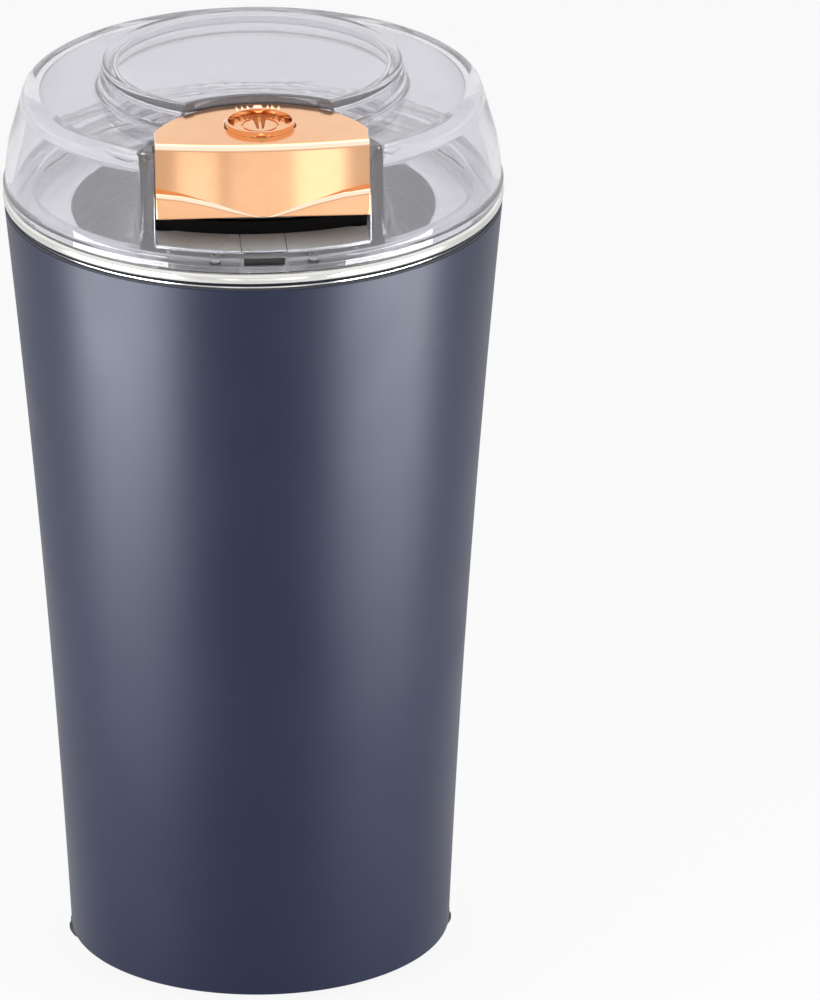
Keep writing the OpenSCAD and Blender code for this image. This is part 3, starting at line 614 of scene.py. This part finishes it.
sleeve = {
    "hemRadius": 36.2,
    "topRadius": 46.8,
    "hem": 2.0,
    "sideBow": 0.95,
    "wall": 0.7,
    "hemLip": 2.0,
    "hemRound": 0.45,
    "topRound": 0.25,
    "footHole": 4.6,
    "footTop": 4,
    "portHeight": 17.0,
    "portHole": 4.7,
    "portSpan": (30, 50),
    "rings": 18,
}


def sleeveRadius(s, z, top):
    rise = (z - s["hem"]) / (top - s["hem"])
    straight = s["hemRadius"] + (s["topRadius"] - s["hemRadius"]) * rise
    return straight - 4 * s["sideBow"] * rise * (1 - rise)


def footPlaces():
    # right, back, left and front
    angles = [math.pi / 2 * turn for turn in range(4)]
    return [(footReach[turn % 2] * math.cos(angle), footReach[turn % 2] * math.sin(angle))
            for turn, angle in enumerate(angles)]


def makeSleeve(s):
    top = boxMm("outer_sleeve")[1].z
    hem, hemRadius, wall = s["hem"], s["hemRadius"], s["wall"]
    levels = [hem + (top - hem) * i / s["rings"] for i in range(s["rings"] + 1)]
    outside = [(sleeveRadius(s, z, top), z) for z in levels]
    inside = [(r - wall, z) for r, z in reversed(outside[1:])]
    lip = [(hemRadius - wall, hem + wall), (hemRadius - s["hemLip"], hem + wall),
           (hemRadius - s["hemLip"], hem)]
    bm = spinProfile(outside + inside + lip, {0: s["hemRound"], s["rings"]: s["topRound"]})
    cutters = [makeDisc(s["portHole"], *s["portSpan"], (0, s["portHeight"]), axis="Y")]
    cutters += [makeDisc(s["footHole"], 0, s["footTop"], place) for place in footPlaces()]
    bm = combine(bm, cutters, "DIFFERENCE")
    return finishPiece(bm, "outerSleeve", "sleeve_paint", "base", ["outer_sleeve"])


makeSleeve(sleeve)


feet = {
    "rim": 4.5,                     # spreads under the hem
    "rimTop": 1.9,
    "rimTuck": 0.6,
    "round": 0.3,
    "radius": 4.2,
    "height": 3.4,
    "neck": 2.2,
    "plateTop": 6.05,
    "barb": 2.8,
    "steps": 64,
}


def makeFeet(s):
    top = boxMm("rubber_feet")[1].z
    outline = [
        (0, 0), (s["rim"] - s["rimTuck"], 0), (s["rim"], s["rimTop"] / 2), (s["rim"], s["rimTop"]),
        (s["radius"], s["rimTop"]), (s["radius"], s["height"]), (s["neck"], s["height"]),
        (s["neck"], s["plateTop"]), (s["barb"], s["plateTop"]), (s["neck"], top), (0, top)]
    bm = bmesh.new()
    for place in footPlaces():
        one = spinProfile(outline, {corner: s["round"] for corner in (2, 3, 5)}, s["steps"])
        bmesh.ops.translate(one, verts=one.verts[:], vec=(*place, 0))
        mesh = bpy.data.meshes.new("foot")
        one.to_mesh(mesh)
        one.free()
        bm.from_mesh(mesh)
        bpy.data.meshes.remove(mesh)
    return finishPiece(bm, "rubberFeet", "black_rubber", "base", ["rubber_feet"])


makeFeet(feet)


rim = {
    "inner": 43.4,
    "outer": 47.05,
    "skirtInner": 45.0,
    "skirtOuter": 45.6,
    "lip": 0.05,
    "crown": 0.9,
    "waist": 1.5,                   # the bead draws in below this height over the sleeve
    "foot": 0.7,
    "footRadius": 46.0,
    "rounds": {1: 0.4, 2: 0.75, 4: 0.5, 5: 0.3},        # corner of the outline: radius
}


def makeRim(s):
    low, high = boxMm("rim_ring")
    seat = boxMm("outer_sleeve")[1].z
    top = high.z
    outline = [
        (s["inner"], seat), (s["inner"], top), (s["outer"] - s["lip"], top),
        (s["outer"], top - s["crown"]), (s["outer"], seat + s["waist"]),
        (s["footRadius"], seat + s["foot"]), (s["footRadius"], seat), (s["skirtOuter"], seat),
        (s["skirtOuter"], low.z), (s["skirtInner"], low.z), (s["skirtInner"], seat)]
    bm = spinProfile(outline, s["rounds"])
    return finishPiece(bm, "rimRing", "rim_chrome", "base", ["rim_ring"])


makeRim(rim)


bowl = {
    "inner": 34.0,
    "flange": 43.2,
    "flangeRound": 0.25,
    "mouthRound": 0.6,
    "underRound": 0.5,
    "wall": 0.8,
    "corner": 8.0,
    "neck": 7.1,
    "pinAt": -39.6,
    "pinHole": 2.7,
}


def makeBowl(s):
    low, high = boxMm("grinding_bowl")
    top, floor, wall = high.z, low.z + s["wall"], s["wall"]
    outline = [
        (s["flange"], top), (s["inner"], top), (s["inner"], floor), (s["neck"], floor),
        (s["neck"], low.z), (s["inner"] + wall, low.z), (s["inner"] + wall, top - wall),
        (s["flange"], top - wall)]
    rounds = {0: s["flangeRound"], 1: s["mouthRound"], 2: s["corner"], 5: s["corner"] + wall,
              6: s["underRound"], 7: s["flangeRound"]}
    bm = spinProfile(outline, rounds)
    hole = makeDisc(s["pinHole"], top - 2, top + 1, (0, s["pinAt"]))
    bm = combine(bm, [hole], "DIFFERENCE")
    return finishPiece(bm, "grindingBowl", "bowl_steel", "base", ["grinding_bowl"])


makeBowl(bowl)


lid = {
    "wall": 2.2,
    "gap": 0.3,                     # between the rim ring and the lid
    "footRadius": 46.8,
    "side": [(47.0, 0.2), (47.0, 1.2), (46.6, 1.7), (46.5, 4.3), (45.8, 9.1), (44.4, 14),
             (43.5, 17.3)],         # outline of the side: radius, height over the seat
    "walled": (3, 6),               # the part of it that the inside follows
    "shoulderRadius": 42.7,
    "shoulderUp": 20.0,
    "shoulderRound": 1.9,
    "bossRadius": 28.05,
    "bossFlare": 0.95,
    "bossRound": 0.8,
    "footRound": 0.2,
    "innerFoot": [(41.2, -2), (41.2, 1.6), (44.75, 1.6)],
    "innerShoulder": 41.4,
    "innerBoss": (1.3, 2),          # how far inside the boss, at its foot and at its top
    "innerRounds": {7: 2.2, 8: 0.8, 9: 0.8},
    "spigotInner": 41.0,
    "spigotOuter": 43.1,
    "spigotTop": 0.5,
    "pocketHalf": 20.0,
    "arcRadius": 21.9,
    "pocketWall": 2.0,
    "pocketHeight": 40,
    "blockFront": -50,
    "floorAt": 3.6,
    "floorWall": 1.4,
    "postWidth": 4.5,
    "postBack": -37.0,
    "edge": 0.35,
    "edgeAngle": 50,
    "edgePast": 1,                  # how far past the recess its edges may lie
    "edgeSlack": 0.05,
    "nearBoss": 1.2,
    "knob": 0.8,
    "knobSpan": (-46.85, -45),
    "knobDrop": 0.75,
    "markAt": 9.1,
    "markHalf": 1,
    "markBack": -45.8,
    "markRise": (1.5, 1.95),
    "tabRoom": (-4.6, 4.6, -44.7, -38),
    "slotRoom": (-3.8, 3.8, -50, -44),
    "slotRise": (1.2, 2.7),
    "stemHole": (-4.2, 4.2, -33.9, -30.1),
    "screwHole": 1.3,
    "screwAt": (15, -32.5),
    "weld": 0.004,
    "flatAngle": 0.2,
}


def pocketPlan(s, half, front, arc, low, high):
    # block with a straight front and a round back
    bm = makeDisc(arc, low, high, (0, arcCentre), segments=128)
    trim(bm, (0, front, 0), (0, -1, 0))
    trim(bm, (half, 0, 0), (1, 0, 0))
    return trim(bm, (-half, 0, 0), (-1, 0, 0))


def inPocket(edge, s, floor):
    # edges of the recess and of the posts beside it, but not across the rounded boss edge
    past, slack = s["edgePast"], s["edgeSlack"]
    reach = s["pocketHalf"] + s["postWidth"] + past
    back = arcCentre + s["arcRadius"] + s["pocketWall"] + past
    shoulder = floor - s["floorAt"] + s["shoulderUp"]
    for v in edge.verts:
        x, y, z = v.co
        if abs(x) > reach or y > back or z < floor - slack:
            return False
        nearBoss = math.hypot(x, y) > s["bossRadius"] - s["nearBoss"] or z < shoulder + past
        if z > shoulder + slack and nearBoss:
            return False
    return True


def lidOutlines(s, seat, shoulder, top):
    wall, boss = s["wall"], s["bossRadius"]
    outer = [(0, seat), (s["footRadius"], seat), *[(r, seat + up) for r, up in s["side"]],
             (s["shoulderRadius"], shoulder), (boss + s["bossFlare"], shoulder), (boss, top),
             (0, top)]
    first, last = s["walled"]
    inner = [(0, seat + s["innerFoot"][0][1]), *[(r, seat + up) for r, up in s["innerFoot"]],
             *[(r - wall, seat + up) for r, up in s["side"][first:last]],
             (s["innerShoulder"], shoulder - wall), (boss - s["innerBoss"][0], shoulder - wall),
             (boss - s["innerBoss"][1], top - wall), (0, top - wall)]
    return outer, inner


def makeLid(s):
    low, high = boxMm("lid_shell")
    seat = boxMm("rim_ring")[1].z + s["gap"]
    shoulder, top = seat + s["shoulderUp"], high.z
    floor = seat + s["floorAt"]
    under, over = floor - s["floorWall"], floor + s["pocketHeight"]
    half, front = s["pocketHalf"], s["blockFront"]
    outer, inner = lidOutlines(s, seat, shoulder, top)
    bend = len(s["side"]) + 2
    envelope = spinProfile(outer, {bend: s["shoulderRound"], bend + 1: s["bossRound"],
                                   bend + 2: s["bossRound"], 4: s["footRound"]})
    hollow = spinProfile(inner, s["innerRounds"])
    block = pocketPlan(s, half + s["pocketWall"], front, s["arcRadius"] + s["pocketWall"],
                       under, over)
    posts = [makeBlock(side, side + s["postWidth"], front, s["postBack"], under, over)
             for side in (-half - s["postWidth"], half)]
    block = combine(block, posts, "UNION")
    block = combine(block, [envelope.copy()], "INTERSECT")
    spigot = spinProfile([(s["spigotInner"], low.z), (s["spigotInner"], seat + s["spigotTop"]),
                          (s["spigotOuter"], seat + s["spigotTop"]), (s["spigotOuter"], low.z)])
    bm = combine(envelope, [spigot], "UNION")
    bm = combine(bm, [hollow], "DIFFERENCE")
    knobs = [makeDisc(s["knob"], *s["knobSpan"], (side * s["markAt"], floor - s["knobDrop"]),
                      24, "Y") for side in (-1, 1)]
    bm = combine(bm, [block, *knobs], "UNION")
    markLow, markHigh = s["markRise"]
    marks = [makeBlock(side * s["markAt"] - s["markHalf"], side * s["markAt"] + s["markHalf"],
                       front, s["markBack"], seat + markLow, seat + markHigh) for side in (-1, 1)]
    screwX, screwY = s["screwAt"]
    cutters = [
        *marks,
        pocketPlan(s, half, -beyond, s["arcRadius"], floor, over),
        makeBlock(-half, half, -beyond, arcCentre + 1, floor, over),
        makeBlock(*s["tabRoom"], seat - 2, under),
        makeBlock(*s["slotRoom"], seat + s["slotRise"][0], seat + s["slotRise"][1]),
        makeBlock(*s["stemHole"], under - 1, floor + 1),
        makeDisc(s["screwHole"], floor - 3, floor + 1, (-screwX, screwY), segments=24),
        makeDisc(s["screwHole"], floor - 3, floor + 1, (screwX, screwY), segments=24),
    ]
    bm = combine(bm, cutters, "DIFFERENCE")
    bmesh.ops.remove_doubles(bm, verts=bm.verts[:], dist=s["weld"])
    bmesh.ops.dissolve_limit(bm, angle_limit=math.radians(s["flatAngle"]), verts=bm.verts[:],
                             edges=bm.edges[:])
    roundEdges(bm, s["edge"], s["edgeAngle"], segments=2,
               keep=lambda edge: inPocket(edge, s, floor))
    return finishPiece(bm, "lidShell", "clear_plastic", "lid", ["lid_shell"])


makeLid(lid)


# painted shade: a black strip that stands in for the shadow in the front slot
shadeStrip = {
    "strip": (-3.75, 3.75, -46.3, -44.2),
    "stripRise": (1.25, 2.65),
    "endHalf": 0.95,
    "endSpan": (-46.2, -45.85),
    "endRise": (1.55, 1.9),
}


def makeShadeStrip(s):
    # painted shade: dark strip set back in the front slot that stands in for the shadow in it, and
    # its two short ends
    seat = boxMm("rim_ring")[1].z + lid["gap"]
    (stripLow, stripHigh), (endLow, endHigh) = s["stripRise"], s["endRise"]
    bm = makeBlock(*s["strip"], seat + stripLow, seat + stripHigh)
    ends = [makeBlock(side * lid["markAt"] - s["endHalf"], side * lid["markAt"] + s["endHalf"],
                      *s["endSpan"], seat + endLow, seat + endHigh) for side in (-1, 1)]
    return finishPiece(combine(bm, ends, "UNION"), "slotShade", "black_rubber", "lid")


makeShadeStrip(shadeStrip)


guide = {
    "front": -37.2,
    "bow": 47.4,
    "height": 2.8,
    "back": 21.4,
    "wall": 1.5,
    "bossAt": (15.0, -32.5),
    "bossRadius": 1.9,
}


def guidePlan(s, inset, low, high):
    # round back and a flatter, bowed front that meet at both ends
    back = makeDisc(s["back"] - inset, low, high, (0, arcCentre), segments=160)
    bow = s["bow"] - inset
    front = makeDisc(bow, low - 1, high + 1, (0, s["front"] + s["bow"]), segments=256)
    return combine(back, [front], "INTERSECT")


def makeGuide(s):
    low = boxMm("button_guide")[0].z
    top = low + s["height"]
    bossX, bossY = s["bossAt"]
    body = guidePlan(s, 0, low, top)
    bosses = [makeDisc(s["bossRadius"], low, top, (side * bossX, bossY), segments=48)
              for side in (-1, 1)]
    body = combine(body, [guidePlan(s, s["wall"], low - 1, top + 1)], "DIFFERENCE")
    body = combine(body, bosses, "UNION")
    # its near-black finish is painted shade for the hollow under the button
    return finishPiece(body, "buttonGuide", "pocket_black", "lid", ["button_guide"])


makeGuide(guide)


cap = {
    "half": 19.8,
    "front": 43.0,
    "faceRadius": 105.0,
    "faceSteps": 512,
    "skirt": 1.2,                   # how far the front hangs below the CAD's cap
    "backRadius": 21.0,
    "wall": 1.4,
    "vee": [(0, 0.45), (5, 1.9), (10, 3.4), (15, 4.6), (19.8, 5.2)],    # half of it: across, up
    "veeEnd": (5, 0.4),             # how far the vee runs on past the side, and rises there
    "plateBack": -36.0,
    "plateBelow": 3,                # trimmed away by the rounded block
    "plateAbove": 20,
    "frontRound": 1.2,
    "edge": 0.35,
    "innerRounds": (0.6, 0.3),      # of the hollow: front top, other edges
    "plateEdge": 1.1,
    "platePride": 0.15,
    "line": 0.5,                    # width of the engraved lines
    "lineDepth": 0.35,
    "signAt": -32.0,
    "signRing": 6.2,
    "signArc": 3.3,
    "signGap": 1.3,
    "signBar": (0.2, 0.6),          # the bar's start, and how far it passes the arc
    "attempts": 8,
    "soundVolume": (1500.0, 6000.0),
}


def capBody(s, inset, low, high, topRound, edge):
    # bowed front with a round top edge, round back and straight sides
    frontRadius, backRadius = s["faceRadius"] - inset, s["backRadius"] - inset
    half = s["half"] - inset
    front = spinProfile([(0, low), (frontRadius, low), (frontRadius, high), (0, high)],
                        {1: edge, 2: topRound}, s["faceSteps"])
    bmesh.ops.translate(front, verts=front.verts[:], vec=(0, s["faceRadius"] - s["front"], 0))
    back = spinProfile([(0, low), (backRadius, low), (backRadius, high), (0, high)],
                       {1: edge, 2: edge})
    bmesh.ops.translate(back, verts=back.verts[:], vec=(0, arcCentre, 0))
    sides = roundEdges(makeBlock(-half, half, -beyond, 0, low, high), edge)
    return combine(sides, [front, back], "INTERSECT")


def capPlate(s, low):
    # flat front plate under the shallow vee, its upper edge rounded to catch the light
    front = -s["front"] - s["platePride"]
    reach = s["half"] + s["veeEnd"][0]
    rise = [*s["vee"], (reach, s["vee"][-1][1] + s["veeEnd"][1])]
    below = -s["plateBelow"]
    outline = [(-reach, below), *[(-x, z) for x, z in reversed(rise[1:])], *rise, (reach, below)]
    bm = bmesh.new()
    face = bm.faces.new([bm.verts.new((x, front, low + z)) for x, z in outline])
    made = bmesh.ops.extrude_face_region(bm, geom=[face])["geom"]
    bmesh.ops.translate(bm, verts=[g for g in made if isinstance(g, bmesh.types.BMVert)],
                        vec=(0, s["plateBack"] - front, 0))
    bmesh.ops.recalc_face_normals(bm, faces=bm.faces[:])
    roundEdges(bm, s["plateEdge"], angle=50, segments=6,
               keep=lambda e: all(v.co.y < front + 0.01 and v.co.z > low for v in e.verts))
    block = makeBlock(-s["half"], s["half"], front, 0, low, low + s["plateAbove"])
    sides = roundEdges(block, s["edge"])
    return combine(bm, [sides], "INTERSECT")


def makeGroove(radius, width, centre, top, depth):
    # ring-shaped cutter for an engraved line
    half = width / 2
    bm = spinProfile([(radius - half, top - depth), (radius + half, top - depth),
                      (radius + half, top + 1), (radius - half, top + 1)], steps=96)
    bmesh.ops.translate(bm, verts=bm.verts[:], vec=(0, centre, 0))
    return bm


def powerSign(s, top):
    # plain ring around the common on/off sign
    line, depth, centre = s["line"], s["lineDepth"], s["signAt"]
    low, high = top - depth, top + 1
    barStart, barPast = s["signBar"]
    gap = makeBlock(-s["signGap"], s["signGap"], centre, centre + s["signArc"] + 1,
                    low - 1, high + 1)
    arc = combine(makeGroove(s["signArc"], line, centre, top, depth), [gap], "DIFFERENCE")
    bar = makeBlock(-line / 2, line / 2, centre + barStart, centre + s["signArc"] + barPast,
                    low, high)
    return [makeGroove(s["signRing"], line, centre, top, depth), arc, bar]


def makeCap(s):
    # the booleans can lose the whole shape, so it is made again until its volume is sound
    low, high = boxMm("button_cap")
    foot = low.z - s["skirt"]
    least, most = s["soundVolume"]
    for attempt in range(s["attempts"]):
        body = capBody(s, 0, foot, high.z, s["frontRound"], s["edge"])
        body = combine(body, [capPlate(s, foot)], "UNION")
        hollow = capBody(s, s["wall"], foot - 1, high.z - s["wall"], *s["innerRounds"])
        body = combine(body, [hollow, *powerSign(s, high.z)], "DIFFERENCE")
        volume = body.calc_volume()
        print("cap attempt", attempt + 1, "volume", round(volume, 1))
        if least < volume < most:
            break
    return finishPiece(body, "buttonCap", "rose_gold", "button", ["button_cap"])


makeCap(cap)


ledge = {
    "radius": 46.0,
    "half": 19.5,
    "front": -50,                   # past the disc's edge
    "back": -34.5,
    "gap": 0.1,
    "depth": 0.25,
    "guideGap": 0.05,
    "tabHalf": 4.2,                 # lines that set off the middle of the ledge
    "lineHalf": 0.1,
}


def makeLedge(s):
    # grained skin on the recess floor in front of the guide
    floor = boxMm("button_guide")[0].z
    low, high = floor + s["gap"], floor + s["gap"] + s["depth"]
    half, tab, line = s["half"], s["tabHalf"], s["lineHalf"]
    through = (s["front"], s["back"], low - 1, high + 1)
    room = makeBlock(-half, half, *through)
    bm = combine(makeDisc(s["radius"], low, high, segments=256), [room], "INTERSECT")
    grooves = [makeBlock(side * tab - line, side * tab + line, *through) for side in (-1, 1)]
    around = guidePlan(guide, -s["guideGap"], low - 1, high + 1)
    bm = combine(bm, [around, *grooves], "DIFFERENCE")
    return finishPiece(bm, "ledgeGrain", "clear_plastic", "lid", finish=ledgeFinish)


makeLedge(ledge)


springs = {
    "buttonSprings": {
        "node": "button_springs",
        "body": "lid",
        "joint": "button_press",
        "travel": 2.5,
        "coil": 2.5,                # radius to the middle of the wire
        "wire": 0.3,
        "turns": 6,
        "steps": 24,                # for each turn
        "sides": 10,
        "centres": [(-9.2, -29.8), (9.2, -29.8)],
    },
    "pinSpring": {
        "node": "pin_spring",
        "body": "base",
        "joint": "interlock_travel",
        "travel": 2.5,
        "coil": 2.25,
        "wire": 0.25,
        "turns": 6,
        "steps": 24,                # for each turn
        "sides": 10,
        "centres": [(0, -39.6)],
    },
}


def makeSpring(name, s):
    # wire spun up a helix
    low, high = boxMm(s["node"])
    wire, turns, steps = s["wire"], s["turns"], s["steps"]
    bm = bmesh.new()
    bmesh.ops.create_circle(bm, radius=wire, segments=s["sides"])
    bmesh.ops.rotate(bm, verts=bm.verts[:], cent=(0, 0, 0),
                     matrix=Matrix.Rotation(math.pi / 2, 3, "X"))
    bmesh.ops.translate(bm, verts=bm.verts[:], vec=(s["coil"], 0, low.z + wire))
    rise = (high.z - low.z - 2 * wire) / (turns * steps)
    bmesh.ops.spin(bm, geom=bm.verts[:] + bm.edges[:], cent=(0, 0, 0), axis=(0, 0, 1),
                   dvec=(0, 0, rise), angle=2 * math.pi * turns, steps=turns * steps,
                   use_merge=False)
    bmesh.ops.holes_fill(bm, edges=[e for e in bm.edges if e.is_boundary])
    bmesh.ops.recalc_face_normals(bm, faces=bm.faces[:])
    first = s["centres"][0]
    bmesh.ops.translate(bm, verts=bm.verts[:], vec=(*first, 0))
    coil = bm.verts[:] + bm.edges[:] + bm.faces[:]
    for x, y in s["centres"][1:]:
        copy = bmesh.ops.duplicate(bm, geom=coil)["geom"]
        bmesh.ops.translate(bm, verts=[g for g in copy if isinstance(g, bmesh.types.BMVert)],
                            vec=(x - first[0], y - first[1], 0))
    piece = finishPiece(bm, name, "spring_steel", s["body"], [s["node"]])
    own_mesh(piece)


for springName, springValues in springs.items():
    makeSpring(springName, springValues)
print("pieces made")
